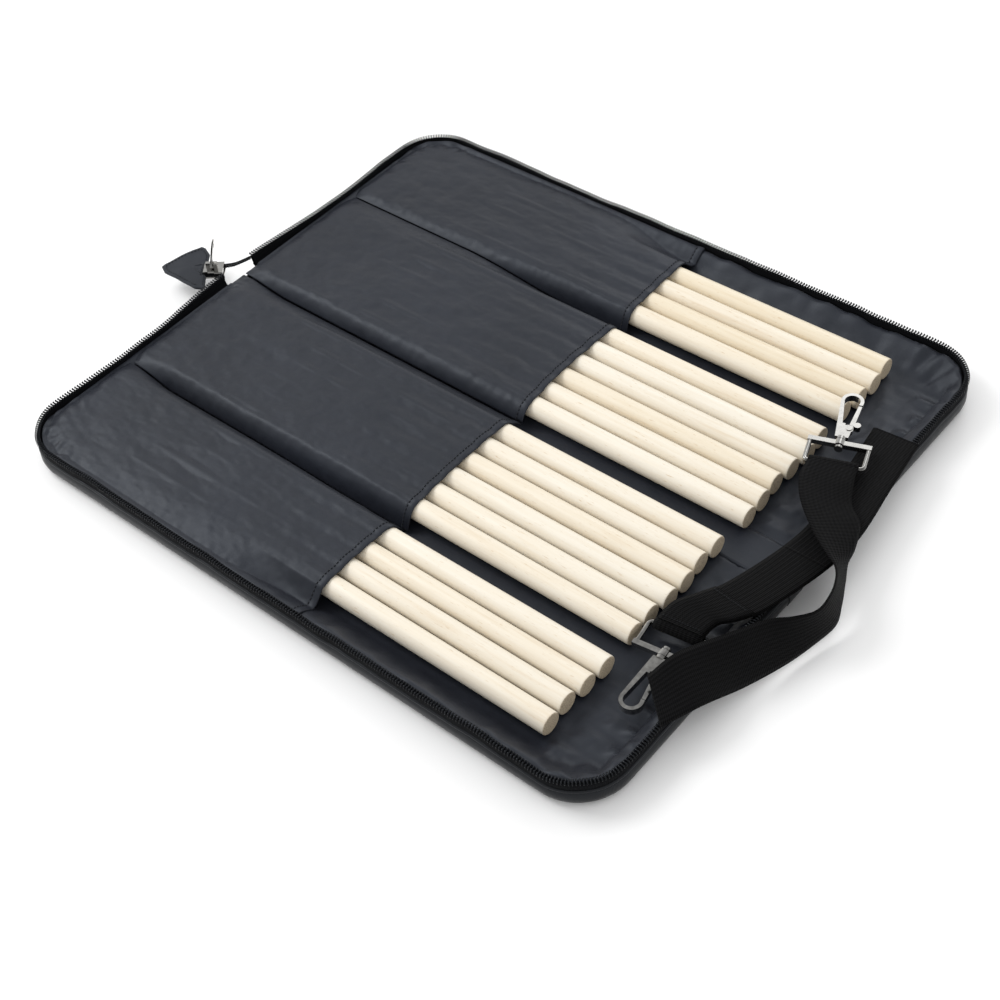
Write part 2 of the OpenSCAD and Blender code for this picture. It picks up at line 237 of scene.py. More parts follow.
def webbing_material():
    m, t, s = new_material("ribbed_webbing")
    at = place(t, uv="strap")  # in millimetres along and across the webbing
    rows = wave(t, at, wave_scale(1.1), "X")
    cords = wave(t, at, wave_scale(2.6), "Y")
    body = place(t)
    fuzz = add_noise(t, body, 900.0, 3.0)
    broad = add_noise(t, body, 30.0, 2.0)
    height = blend_sum(t, rows, 0.75, cords, 0.5)
    height = math_node(t, "ADD", height, math_node(t, "MULTIPLY", fuzz, 0.35))
    # painted shade: the colour follows the ribs' and cords' height, so the grooves are painted darker than
    # the tops, with broad noise for a random tone
    painted_shade_and_noise = blend_sum(t, height, 0.5, broad, 0.25)
    colour = ramp(t, painted_shade_and_noise, [(0.25, (0.0007, 0.0007, 0.0008)), (0.9, (0.006, 0.006, 0.0066))])
    t.links.new(colour, s.inputs["Base Color"])
    t.links.new(ramp(t, fuzz, [(0.3, grey(0.62)), (0.8, grey(0.8))]), s.inputs["Roughness"])
    s.inputs["Sheen Weight"].default_value = 0.02
    s.inputs["Sheen Roughness"].default_value = 0.45
    s.inputs["Specular IOR Level"].default_value = 0.06
    bump(t, s, height, 0.9, 0.0005)
    return m


def metal_material(name, colour, rough):
    """Metal with fine scratches, and a painted reflection: its colour is painted darker where it faces the
    eye, as plating is in a pale room.
    """
    m, t, s = new_material(name)
    s.inputs["Metallic"].default_value = 1.0
    scratch = add_noise(t, place(t, (1, 1, 6)), 300.0, 5.0)
    pits = add_noise(t, place(t), 900.0, 3.0)
    # painted reflection: the facing weight darkens the colour where the metal faces the eye; deep and middle
    # are the painted dark and mid tones, mixed with scratch noise
    rim = t.nodes.new("ShaderNodeLayerWeight")
    rim.inputs["Blend"].default_value = 0.35
    painted_shade_and_noise = blend_sum(t, rim.outputs["Facing"], 0.9, scratch, 0.25)
    deep, middle = [c * 0.13 for c in colour], [c * 0.6 for c in colour]
    t.links.new(ramp(t, painted_shade_and_noise, [(0.16, deep), (0.46, middle), (0.85, colour)]), s.inputs["Base Color"])
    dull = ramp(t, scratch, [(0.3, grey(rough)), (0.75, grey(rough + 0.12))])
    t.links.new(dull, s.inputs["Roughness"])
    bump(t, s, math_node(t, "ADD", scratch, pits), 0.05, 0.0001)
    return m


def wood_material():
    m, t, s = new_material("pale_maple")
    info = t.nodes.new("ShaderNodeObjectInfo")
    coord = t.nodes.new("ShaderNodeTexCoord")
    shift = t.nodes.new("ShaderNodeVectorMath")
    shift.operation = "ADD"
    t.links.new(coord.outputs["Object"], shift.inputs[0])
    offset = t.nodes.new("ShaderNodeCombineXYZ")
    t.links.new(info.outputs["Random"], offset.inputs[0])
    t.links.new(info.outputs["Random"], offset.inputs[2])
    t.links.new(offset.outputs[0], shift.inputs[1])
    moved = shift.outputs[0]
    grain = add_noise(t, stretched(t, moved, 0.045), 420.0, 6.0, 0.62)
    bands = add_noise(t, stretched(t, moved, 0.045), 60.0, 3.0, 0.5)
    fleck = add_noise(t, stretched(t, moved, 0.12), 1400.0, 2.0, 0.5)
    mix = blend_sum(t, grain, 0.55, bands, 0.45)
    base = ramp(t, mix, [(0.28, (0.66, 0.555, 0.41)), (0.46, (0.755, 0.69, 0.575)),
                         (0.7, (0.80, 0.76, 0.675))])
    # each stick has its own tone
    tone = ramp(t, info.outputs["Random"], [(0.0, (0.95, 0.90, 0.80)), (0.5, (1.0, 0.98, 0.95)),
                                            (1.0, (1.0, 1.0, 1.0))])
    spots = ramp(t, fleck, [(0.22, (0.80, 0.70, 0.58)), (0.36, (1, 1, 1))])
    sides = mix_colour(t, mix_colour(t, base, tone), spots)
    # the butts show darker, speckled end grain
    facing = t.nodes.new("ShaderNodeSeparateXYZ")
    t.links.new(coord.outputs["Normal"], facing.inputs[0])
    is_end = math_node(t, "GREATER_THAN", math_node(t, "ABSOLUTE", facing.outputs["Y"]), 0.9)
    pores = add_noise(t, moved, 1300.0, 3.0, 0.6)
    end_grain = ramp(t, pores, [(0.34, (0.40, 0.31, 0.21)), (0.56, (0.66, 0.56, 0.41))])
    t.links.new(mix_colour(t, sides, end_grain, is_end, "MIX"), s.inputs["Base Color"])
    t.links.new(ramp(t, grain, [(0.3, grey(0.56)), (0.7, grey(0.44))]), s.inputs["Roughness"])
    s.inputs["Coat Weight"].default_value = 0.12
    s.inputs["Coat Roughness"].default_value = 0.3
    bump(t, s, grain, 0.12, 0.0002)
    return m


LINING = cloth_material(
    "satin_lining", dark=(0.0075, 0.0085, 0.0125), light=(0.0145, 0.0165, 0.0235), rough=0.43,
    pitch=0.0006, sheen=0.02, wrinkle=0.16, gloss=0.34)
SHELL = cloth_material(
    "coated_nylon", dark=(0.002, 0.002, 0.0025), light=(0.005, 0.005, 0.006), rough=0.34,
    pitch=0.0008, strength=0.3, coat=0.03, wrinkle=0.3, gloss=0.25)
TAPE = cloth_material(
    "woven_tape", dark=(0.0008, 0.0008, 0.001), light=(0.003, 0.003, 0.0036), rough=0.8,
    pitch=0.0011, strength=0.9, gloss=0.1)
TAB = cloth_material(
    "grey_nylon", dark=(0.008, 0.009, 0.012), light=(0.018, 0.02, 0.026), rough=0.6,
    pitch=0.0009, sheen=0.05, strength=0.6)
COIL = cloth_material(
    "nylon_coil", dark=(0.0015, 0.0015, 0.002), light=(0.004, 0.004, 0.005), rough=0.16,
    pitch=0.0007, strength=0.05, gloss=0.22)
THREAD = cloth_material(
    "black_thread", dark=(0.002, 0.002, 0.0025), light=(0.005, 0.005, 0.006), rough=0.6,
    pitch=0.0004, sheen=0.05, strength=0.4)
WEBBING = webbing_material()
NICKEL = metal_material("nickel_plate", (0.70, 0.69, 0.665), 0.13)
STEEL = metal_material("spring_wire", (0.55, 0.55, 0.56), 0.28)
MAPLE = wood_material()


# ------------------------------------------------------------------ mesh helpers
def mesh_object(name, verts, faces, material, uvs=None):
    data = bpy.data.meshes.new(name)
    data.from_pydata([tuple(float(c) * MM for c in v) for v in verts], [], faces)
    data.update()
    ob = bpy.data.objects.new(name, data)
    bpy.context.scene.collection.objects.link(ob)
    data.materials.append(material)
    data.polygons.foreach_set("use_smooth", [True] * len(data.polygons))
    if uvs is not None:
        layer = data.uv_layers.new(name="strap")
        for loop in data.loops:
            layer.data[loop.index].uv = uvs[loop.vertex_index]
    return ob


def grid_faces(nu, nv, wrap_v=False):
    faces = []
    for i in range(nu - 1):
        for j in range(nv if wrap_v else nv - 1):
            k = (j + 1) % nv
            faces.append((i * nv + j, (i + 1) * nv + j, (i + 1) * nv + k, i * nv + k))
    return faces


def turned(faces, when):
    """The faces, with front and back swapped where the grid would come out inside out."""
    return [f[::-1] for f in faces] if when else faces


def solidify(ob, t, offset=-1.0):
    mod = ob.modifiers.new("thickness", "SOLIDIFY")
    mod.thickness, mod.offset = t * MM, offset
    return ob


def apply_modifiers(ob):
    deps = bpy.context.evaluated_depsgraph_get()
    data = bpy.data.meshes.new_from_object(ob.evaluated_get(deps))
    ob.modifiers.clear()
    old = ob.data
    ob.data = data
    bpy.data.meshes.remove(old)


def smooth_step(a, b, x):
    t = min(1.0, max(0.0, (x - a) / (b - a)))
    return t * t * (3 - 2 * t)


def half_name(side):
    return "back" if side > 0 else "front"


def fold_body(side):
    return half_name(side) + "_half"


def wall_distance(x, y):
    """How far a point of one half is inside the outer wall."""
    qx, qy = abs(x) - (HALF_W - CORNER), abs(y) - (HALF_L - CORNER)
    return CORNER - math.hypot(max(qx, 0), max(qy, 0)) - min(max(qx, qy), 0)


def x_limit(y, inset):
    """The outermost x at this y, inside the wall by inset."""
    w, l, r = HALF_W - inset, HALF_L - inset, CORNER - inset
    q = abs(y) - (l - r)
    if q <= 0:
        return w
    return w - r + math.sqrt(max(0.0, r * r - min(q, r) ** 2))


def fbm(x, y, scale, seed=0.0):
    return noise.fractal(Vector((x / scale + seed, y / scale - seed, seed * 1.7)), 0.8, 2.1, 4)


# ------------------------------------------------------------------ walls, zip tape and coil
def half_path(step):
    """Points along one half's outer wall, from the spine along -Y, +X and +Y, back to the
    spine: (x, y, outward x, outward y, length so far)."""
    pts, w, l, r = [], HALF_W, HALF_L, CORNER
    legs = [("line", (FOLD_X, -l), (w - r, -l), (0, -1)), ("arc", (w - r, -(l - r)), -90),
            ("line", (w, -(l - r)), (w, l - r), (1, 0)), ("arc", (w - r, l - r), 0),
            ("line", (w - r, l), (FOLD_X, l), (0, 1))]
    s = 0.0
    for leg in legs:
        if leg[0] == "line":
            (x0, y0), (x1, y1), n = leg[1:]
            length = math.hypot(x1 - x0, y1 - y0)
            count = max(2, round(length / step))
            for i in range(count):
                f = i / count
                pts.append((x0 + (x1 - x0) * f, y0 + (y1 - y0) * f, n[0], n[1], s + length * f))
        else:
            (cx, cy), a0 = leg[1:]
            length = math.pi / 2 * r
            count = max(4, round(length / step))
            for i in range(count):
                a = math.radians(a0 + 90 * i / count)
                c, q = math.cos(a), math.sin(a)
                pts.append((cx + r * c, cy + r * q, c, q, s + length * i / count))
        s += length
    pts.append((FOLD_X, l, 0, 1, s))
    return pts


def wall_wave(s, side):
    """Slow waves of the soft wall: (outward, up), in mm."""
    k = 0.0 if side > 0 else 40.0
    out = 1.1 * noise.noise(Vector((s / 46 + k, 3.1, 0))) + 0.5 * noise.noise(Vector((s / 17 + k, 8.4, 0)))
    up = 0.8 * noise.noise(Vector((s / 60 + k, 1.7, 5.0)))
    fade = min(1.0, s / 30, (LENGTH - s) / 30)
    # the zip pulls the far wall out towards the slider where it leaves each half
    left = LENGTH - s
    hollow = smooth_step(150, 90, left) * smooth_step(40, 90, left)
    pull = 4.5 * smooth_step(62, 0, left) - 1.6 * hollow
    return out * fade + pull, up * fade


PATH = half_path(WALL_STEP)
LENGTH = PATH[-1][4]


def rises(z):
    """How much of the soft wall's waves a point at this height takes."""
    return smooth_step(2, 20, z)


def sweep_wall(name, side, profile, material, closed=False):
    """Sweeps (outward, z) profile points along the half's wall."""
    verts = []
    for x, y, nx, ny, s in PATH:
        wave_out, wave_up = wall_wave(s, side)
        for d, z in profile:
            k = rises(z)
            out = d + wave_out * k
            verts.append((side * (x + nx * out), y + ny * out, z + wave_up * k))
    faces = turned(grid_faces(len(PATH), len(profile), closed), side < 0)
    return mesh_object(name, verts, faces, material)


# outer cloth: flat underneath, a full soft bulge, then the seam under the zip tape
OUTER_PROFILE = [(-30, 0.15), (-16, 0.05), (-8, 0.1), (-4.2, 0.5), (-1.6, 1.7), (-0.1, 3.8),
                 (0.5, 6.4), (0.35, 9.2), (-0.4, 11.4), (-1.6, 12.6), (-2.2, 12.4)]
# zip tape, as the gusset strip above the piping, standing up and leaning in a little
TAPE_PROFILE = [(-1.0, 13.4), (-0.5, 15.2), (-0.3, 17.6), (-0.6, 20.0), (-1.3, 20.5), (-2.2, 20.0),
                (-2.6, 17.4), (-2.9, 15.6), (-3.4, 14.2), (-4.6, 13.4), (-6.0, 12.8)]
PIPING_R, PIPING_OUT, PIPING_Z = 1.15, -0.9, 13.0


def make_coil(side):
    """One rib of the coil every COIL_PITCH across the tape's edge."""
    section = [(0.56, -0.2), (0.46, 0.4), (0.0, 0.66), (-0.46, 0.4), (-0.56, -0.2)]
    # (outward, lift, size) of the section along a rib
    rib = ((-3.2, -1.0, 0.6), (-2.6, 0.45, 1.05), (-1.35, -0.05, 0.9), (-0.1, 0.45, 1.05),
           (0.5, -1.0, 0.6))
    rib_faces = grid_faces(5, 5) + [(4, 3, 2, 1, 0), (20, 21, 22, 23, 24)]
    verts, faces = [], []
    for x, y, nx, ny, s in half_path(COIL_PITCH):
        wave_out, wave_up = wall_wave(s, side)
        base = len(verts)
        for d, lift, size in rib:
            out = d + wave_out
            for a, b in section:
                px = x + nx * out - ny * a * size
                py = y + ny * out + nx * a * size
                verts.append((side * px, py, TEETH_Z - 0.55 + wave_up + lift + b * size))
        faces += [tuple(base + i for i in f) for f in turned(rib_faces, side < 0)]
    return mesh_object(half_name(side) + "_coil", verts, faces, COIL)


def make_walls(side):
    half = half_name(side)
    body = fold_body(side)
    ob = sweep_wall(half + "_outer_cloth", side, OUTER_PROFILE, SHELL)
    solidify(ob, 0.8)
    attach(ob, body)
    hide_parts(half + "_shell", half + "_foam")
    # piping between the outer cloth and the zip tape
    ring = [(PIPING_OUT + PIPING_R * math.cos(a), PIPING_Z + PIPING_R * math.sin(a))
            for a in np.linspace(0, 2 * math.pi, 9)[:-1]]
    ob = sweep_wall(half + "_piping", side, ring, SHELL, True)
    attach(ob, body)
    ob = sweep_wall(half + "_zip_band", side, TAPE_PROFILE, TAPE)
    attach(ob, body)
    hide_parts(half + "_zip_tape", half + "_gusset")
    ob = make_coil(side)
    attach(ob, body)
    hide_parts(half + "_zip_teeth")


def make_bottom(side):
    """The outer cloth under one half, inside the swept rim, a little slack between seams."""
    nv, nu, inset = 60, 34, 27.0
    x_in = FOLD_X + 0.2
    verts = []
    for i in range(nv):
        y = (HALF_L - inset) * (-1 + 2 * i / (nv - 1))
        x_out = x_limit(y, inset)
        for j in range(nu):
            x = x_in + (x_out - x_in) * j / (nu - 1)
            free = smooth_step(0, 25, min(x - FOLD_X, x_out - x))
            slack = 0.225 * (1 + fbm(x, y, 45, 51.0 + side)) * free
            verts.append((side * x, y, 0.1 + slack))
    faces = turned(grid_faces(nv, nu), side < 0)
    ob = mesh_object(half_name(side) + "_bottom_cloth", verts, faces, SHELL)
    solidify(ob, 0.7)
    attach(ob, fold_body(side))


def make_fold_cloth(side):
    """Outer cloth round one fold, from the spine to the half."""
    # (inward from the end, z) of the rim, then a flat run under the bag
    rim = [(2.4, 12.6), (-0.1, 11.2), (-0.8, 8.6), (-0.8, 5.4), (0.1, 2.6), (2.2, 0.8), (6, -0.05)]
    along = [(-HALF_L + d, z) for d, z in rim]
    along += [(y, -0.1) for y in np.linspace(-HALF_L + 14, HALF_L - 14, 40)]
    along += [(HALF_L - d, z) for d, z in rim[::-1]]
    nu, x_from, width = 25, 7.0, 14.0
    verts = []
    for y, z in along:
        for j in range(nu):
            verts.append((side * (x_from + width * j / (nu - 1)), y, z))
    faces = turned(grid_faces(len(along), nu), side < 0)
    ob = mesh_object(half_name(side) + "_fold_cloth", verts, faces, SHELL)
    solidify(ob, 0.5)
    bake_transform(ob)


for side in (1, -1):
    make_walls(side)
    make_bottom(side)
    make_fold_cloth(side)


# ------------------------------------------------------------------ lining of the trays
def floor_height(x, y, side):
    """Height of the padded lining at a point of a half."""
    d = wall_distance(x, y)
    z = FLOOR_Z + 12.6 * (1 - smooth_step(3.0, 28.0, d)) ** 1.5  # it climbs the wall
    z -= 2.4 * (1 - smooth_step(2.4, 4.2, d))
    bare = smooth_step(-182, -192, y)  # the tray past the sticks is free to crumple
    beside = smooth_step(181, 187, x) * smooth_step(-16, -24, y)
    room = max(bare, beside)
    seed = 3.0 if side > 0 else 11.0
    z += room * (2.3 * fbm(x, y, 36, seed) + 1.5 * abs(fbm(x * 0.8, y * 1.3, 20, seed + 5)))
    # gathers that run in from the wall where the lining is pulled round the corners
    turn = math.atan2(abs(y) - (HALF_L - CORNER - 14), x - (HALF_W - CORNER - 14))
    corner = smooth_step(CORNER + 4, CORNER - 10, d) * smooth_step(150, 158, x)
    corner *= smooth_step(185, 195, abs(y)) * smooth_step(1, 9, d) * smooth_step(30, 16, d)
    z += 1.1 * corner * math.sin(turn * 17 + 2.0 * fbm(x, y, 30, seed))
    # where a stick slides out, the cloth stays under its round
    lane = min(abs(x - sx) for sx in STICK_X)
    under = FLOOR_Z + 0.1 + lane ** 2 / (2 * STICK_R)
    if y > SLIDE_END and z > under and d > 12:
        z += (under - z) * smooth_step(SLIDE_END, SLIDE_END + 6, y)
    return z


def make_lining(side):
    half = half_name(side)
    nu, nv, inset = 84, 170, 2.5
    crowd = math.pi / 2 * 0.93  # rows stand closer together near both ends
    verts = []
    for i in range(nv):
        f = -1 + 2 * i / (nv - 1)
        y = (HALF_L - inset) * math.sin(f * crowd) / math.sin(crowd)
        x_in, x_out = FOLD_X - 0.5, x_limit(y, inset)
        for j in range(nu):
            x = x_in + (x_out - x_in) * j / (nu - 1)
            verts.append((side * x, y, floor_height(x, y, side)))
    ob = mesh_object(half + "_lining_cloth", verts, turned(grid_faces(nv, nu), side > 0), LINING)
    solidify(ob, 0.7)
    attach(ob, fold_body(side))
    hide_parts(half + "_lining")


for side in (1, -1):
    make_lining(side)


# ------------------------------------------------------------------ pockets
POCKET_ACROSS, POCKET_ALONG = 96, 150  # points of a pocket's grid
POCKET_INSET = 3.4
POCKET_END = HALF_L - POCKET_INSET
OUTER_STICKS_END = STICK_X[-1] + STICK_R + 0.3


def sewn_profile(x, x_a, x_b, near, far, z_a, z_b, top):
    """Height of a pocket across its width: a steep near side, a rounded brow, a nearly flat
    top and a softer far side."""
    if x <= x_a + near:
        t = max(0.0, (x - x_a) / near)
        return z_a + (top - z_a) * (1 - (1 - t) ** 2.2)
    if x >= x_b - far:
        t = max(0.0, (x_b - x) / far)
        return z_b + (top - z_b) * (1 - (1 - t) ** 1.8)
    return top


def stick_ripple(x, y, xs, depth):
    """The cloth sags a little between two sticks near the pocket's mouth."""
    near = min(abs(x - s) for s in xs)
    return -depth * smooth_step(3.0, 8.0, near) * (1 - smooth_step(MOUTH_Y, 110, y))


def stick_radius(y):
    """A stick's radius at y, with the neck and the bead at its far end."""
    if y < 122:
        return STICK_R
    if y < 162:
        return STICK_R - 1.3 * (y - 122) / 40
    if y < 205:
        return max(4.7, 5.9 - 2.7 * (y - 162) / 43)
    return 5.0 if y < 226 else 0.0


def pocket_seams(inner, y):
    """The two x at which a pocket is sewn down at this y."""
    if inner:
        return 0.6, SEAM_X - 0.4
    return SEAM_X + 0.4, min(x_limit(y, POCKET_INSET), HALF_W - POCKET_INSET)


def gathers(d, along, k, seed):
    """Short gathers and puckers that run in from a seam at distance d."""
    if not 0.5 < d < 18:
        return 0.0
    fold = noise.noise(Vector((along / 9.0 + k + seed, d / 14 + k, 2.2)))
    calm = smooth_step(-0.1, 0.35, noise.noise(Vector((along / 40 + k, seed, 6.6))))
    pucker = noise.noise(Vector((along / 4.2 - k + seed, d / 9 + k, 9.1)))
    return (0.75 * fold * calm * smooth_step(0.5, 4, d) * (1 - smooth_step(6, 18, d))
            + 0.55 * pucker * smooth_step(0.5, 3, d) * (1 - smooth_step(4, 11, d)))


def pocket_height(side, inner, x, y, at_y, seed):
    """Height of a pocket's cloth at a grid point, which the bow of the mouth moves to at_y."""
    x_a, x_b = pocket_seams(inner, y)
    sticks = STICK_X[:6] if inner else STICK_X[6:]
    # the side that faces -X is the steep, dark one: on the front half it is the outer side
    if side > 0:
        near, far, shallow = 10, 20, 9.5
    else:
        near, far, shallow = (20, 10, 2.0) if inner else (14, 20, 2.0)
    top = POCKET_TOP - 1.2 * smooth_step(60, 215, y)
    rise = max(shallow * smooth_step(10, 120, y), 9.0 * smooth_step(178, 226, y))
    z_a = z_b = FLOOR_Z + 1.4 + rise
    if inner:
        z_a = 11.5 + 4.5 * smooth_step(190, 228, y)
    else:
        z_b = 16.6
    z = sewn_profile(x, x_a, x_b, near, far, z_a, z_b, top)
    end, z_end, end_run = POCKET_END - y, 16.4, 15
    if end < end_run:
        t = max(0.0, end / end_run)
        z = min(z, z_end + (z - z_end) * (1 - (1 - t) ** 2.0))
    if not inner and x > OUTER_STICKS_END:
        # past the last stick the cloth sags to the lining near the mouth
        across = (x - OUTER_STICKS_END) / max(1.0, x_b - OUTER_STICKS_END)
        sag = 8.0 * math.sin(math.pi * min(1.0, across)) * (1 - smooth_step(-12, 55, y))
        z = max(floor_height(x, at_y, side) + 1.6, z - sag)
    z += stick_ripple(x, y, sticks, 0.7)
    free = smooth_step(0, 10, min(x - x_a, x_b - x)) * smooth_step(0, 12, end)
    z += free * (0.75 * fbm(x, y * 0.5, 26, seed) + 0.35 * fbm(x * 1.1, y, 11, seed + 3))
    for d, along, k in ((x - x_a, y, 0.0), (x_b - x, y, 7.0), (end, x, 13.0)):
        z += gathers(d, along, k, seed)
    if not inner:
        lump = smooth_step(22, 6, wall_distance(x, y)) * smooth_step(185, 205, y)
        a = math.atan2(y - (HALF_L - CORNER), x - (HALF_W - CORNER))
        z += 0.7 * lump * math.sin(a * 15 + 2 * fbm(x, y, 22, seed)) * free
    z = max(z, FLOOR_Z + 0.9)
    # the cloth stays 1 mm over the sticks
    r = stick_radius(at_y)
    for s in sticks:
        if abs(x - s) < r:
            z = max(z, STICK_Z + math.sqrt(r ** 2 - (x - s) ** 2) + 1.0)
    return z


def pocket_grid(side, inner):
    seed = (5.0 if side > 0 else 23.0) + (0 if inner else 9.0)
    verts, uvs = [], []
    for i in range(POCKET_ALONG):
        v = i / (POCKET_ALONG - 1)
        y = MOUTH_Y + (POCKET_END - MOUTH_Y) * v
        x_a, x_b = pocket_seams(inner, y)
        for j in range(POCKET_ACROSS):
            u = j / (POCKET_ACROSS - 1)
            # more points near both seams
            w = 0.55 * (0.5 - 0.5 * math.cos(math.pi * u)) + 0.45 * u
            x = x_a + (x_b - x_a) * w
            # the mouth's edge is drawn taut between the seams, so it bows back a little
            bow = 2.0 * math.sin(math.pi * w) - 0.8 + 0.5 * fbm(x, 0, 30, seed)
            at_y = y + max(0.0, 1 - v / 0.15) * bow
            verts.append((side * x, at_y, pocket_height(side, inner, x, y, at_y, seed)))
            uvs.append((x, at_y))
    return verts, uvs


def make_hem(name, verts, side):
    """A turned hem at the pocket's mouth: a double edge with a row of stitches behind it."""
    # (back from the mouth, up) of the hem's section
    section = ((-0.35, -0.6), (-0.55, 0.1), (0.1, 0.62), (2.0, 0.75), (4.4, 0.6), (5.3, 0.05))
    stitch_at = 4
    mouth = verts[:POCKET_ACROSS]
    behind = verts[POCKET_ACROSS * 4:POCKET_ACROSS * 5]
    hem = []
    for a, b in zip(np.array(mouth), np.array(behind)):
        run = (b - a) / np.linalg.norm(b - a)
        hem.append([a + run * d + np.array([0, 0, h]) for d, h in section])
    faces = turned(grid_faces(POCKET_ACROSS, len(section)), side < 0)
    ob = mesh_object(name + "_hem", [q for ring in hem for q in ring], faces, LINING)
    solidify(ob, 0.3)
    line = [ring[stitch_at] + (0, 0, 0.18) for ring in hem]
    return ob, stitch_row(name + "_hem_stitches", line, 2.6, 0.24)


def make_pocket(side, inner):
    half, body = half_name(side), fold_body(side)
    name = half + ("_inner_pocket" if inner else "_outer_pocket")
    verts, uvs = pocket_grid(side, inner)
    faces = turned(grid_faces(POCKET_ALONG, POCKET_ACROSS), side > 0)
    ob = mesh_object(name, verts, faces, LINING, uvs)
    solidify(ob, 0.7)
    sub = ob.modifiers.new("soft", "SUBSURF")
    sub.levels = sub.render_levels = 1
    apply_modifiers(ob)
    hem, seam = make_hem(name, verts, side)
    for piece in (ob, hem, seam):
        if inner:
            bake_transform(piece)
        else:
            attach(piece, body)
    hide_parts(half + ("_pocket_inner" if inner else "_pocket_outer"))


def stitch_row(name, path, pitch, r):
    """A row of short raised stitches along a line of points."""
    path = [np.array(p, float) for p in path]
    seg = [np.linalg.norm(b - a) for a, b in zip(path, path[1:])]
    total, verts, faces = sum(seg), [], []

    def at(s):
        for a, b, l in zip(path, path[1:], seg):
            if s <= l or b is path[-1]:
                return a + (b - a) * min(1, s / max(l, 1e-9)), (b - a) / max(l, 1e-9)
            s -= l

    half_l = pitch * 0.34
    s = pitch * 0.5
    while s < total - pitch * 0.5:
        p, d = at(s)
        n = np.cross(d, (0, 0, 1))
        n /= max(np.linalg.norm(n), 1e-9)
        up = np.cross(n, d)
        base = len(verts)
        for f, k, h in ((-1, 0.45, -0.6), (-0.55, 1.0, 0.25), (0.55, 1.0, 0.25), (1, 0.45, -0.6)):
            for a in range(6):
                c, q = math.cos(math.pi / 3 * a), math.sin(math.pi / 3 * a)
                verts.append(p + d * f * half_l + n * (r * k * c) + up * (r * k * q + r * h))
        for i in range(3):
            for a in range(6):
                b = (a + 1) % 6
                faces.append((base + 6 * i + a, base + 6 * i + b, base + 6 * i + 6 + b, base + 6 * i + 6 + a))
        faces.append(tuple(base + a for a in range(5, -1, -1)))
        faces.append(tuple(base + 18 + a for a in range(6)))
        s += pitch
    return mesh_object(name, verts, faces, THREAD)


for side in (1, -1):
    for inner in (True, False):
        make_pocket(side, inner)


# ------------------------------------------------------------------ spine
def spine_cloth(name, z_mid, z_edge, material, lining):
    """A strip between the two fold lines, z_mid high along the middle."""
    nv, nu = 90, 13
    l = HALF_L - 2
    verts = []
    for i in range(nv):
        y = -l + 2 * l * i / (nv - 1)
        for j in range(nu):
            x = -FOLD_X + 2 * FOLD_X * j / (nu - 1)
            z = z_mid + (z_edge - z_mid) * (x / FOLD_X) ** 2
            if lining:
                z += 0.25 * fbm(x, y, 20, 31.0) + 6.2 * (1 - smooth_step(1.5, 11, l - abs(y)))
            verts.append((x, y, z))
    ob = mesh_object(name, verts, turned(grid_faces(nv, nu), True), material)
    solidify(ob, 0.8, -1.0 if lining else 0.0)
    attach(ob, "spine")
    return ob


def spine_end_wall(s):
    """The outer cloth where it comes up between the halves, at the far end (s > 0) or near."""
    columns = 15
    # (outward, z) of the wall's section
    section = ((0, 0.4), (1.4, 1.4), (2.0, 4.2), (1.6, 8.5), (0.6, 12.0), (-0.8, 12.8),
               (-2.2, 12.0), (-3.2, 8.0))
    verts = []
    for i in range(columns):
        x = -FOLD_X + 2 * FOLD_X * i / (columns - 1)
        for d, z in section:
            ripple = 0.5 * math.sin(x * 0.35) * (z > 5)
            verts.append((x, s * (HALF_L - 2.4 + d * 0.8), z + ripple))
    faces = turned(grid_faces(columns, len(section)), s > 0)
    ob = mesh_object("spine_end_wall_" + ("far" if s > 0 else "near"), verts, faces, SHELL)
    solidify(ob, 0.8)
    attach(ob, "spine")


def make_spine():
    ob = spine_cloth("spine_lining_cloth", FLOOR_Z, FLOOR_Z + 0.3, LINING, True)
    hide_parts("spine_lining")
    ob = spine_cloth("spine_outer_cloth", 0.9, 0.15, SHELL, False)
    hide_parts("spine_shell")
    for s in (-1, 1):
        spine_end_wall(s)


make_spine()


# ------------------------------------------------------------------ straps
# The two edges of each strap's webbing, as in the CAD, station by station to its hook
BACK_ROUTE = [
    ((112, -208, 23), (114, -238, 23)), ((75, -213, 23), (76, -243, 23)),
    ((30, -219, 23), (31, -249, 23)), ((0, -217, 23), (0, -247, 23)),
    ((-40, -207, 23.2), (-43, -237, 23.2)), ((-58, -198, 23.2), (-61, -228, 23.2)),
    ((-70, -190, 21.5), (-69, -220, 21.5)), ((-84.5, -188.4, 19.6), (-80.3, -218, 19.6))]
FRONT_ROUTE = [
    ((-122, -211, 26), (-144, -236, 23.4)), ((-104, -218, 33), (-117, -245, 21)),
    ((-78, -232, 33), (-88, -251, 10)), ((-56, -243, 31), (-58, -258, 4)),
    ((-45, -254, 31), (-36.5, -263, 4)), ((-35, -261.5, 32), (-20, -266, 6)),
    ((-23.5, -262, 34), (-8.5, -262.5, 10)), ((-12.8, -259, 36), (5, -256, 13)),
    ((-6, -253.5, 37), (13.8, -252, 18)), ((0.2, -243.8, 36), (21.1, -251.6, 23.6)),
    ((14.6, -224.6, 33), (36.6, -245.2, 26.6)), ((30.4, -207.7, 32), (46.2, -233.7, 27.4)),
    ((46, -197.5, 31.2), (59, -226.5, 30)), ((61.5, -193.6, 31), (71.7, -222, 31))]
# Each hook's bar: its place, its turn in degrees, and whether it lies face down
HOOKS = {"back_strap": ((-82.4, -203.2, 17), 188, False),
         "front_strap": ((66.6, -207.8, 28.4), 20, True)}
# How many points of the smooth line the end that is folded back covers
FOLDED_POINTS = {"back_strap": 64, "front_strap": 44}


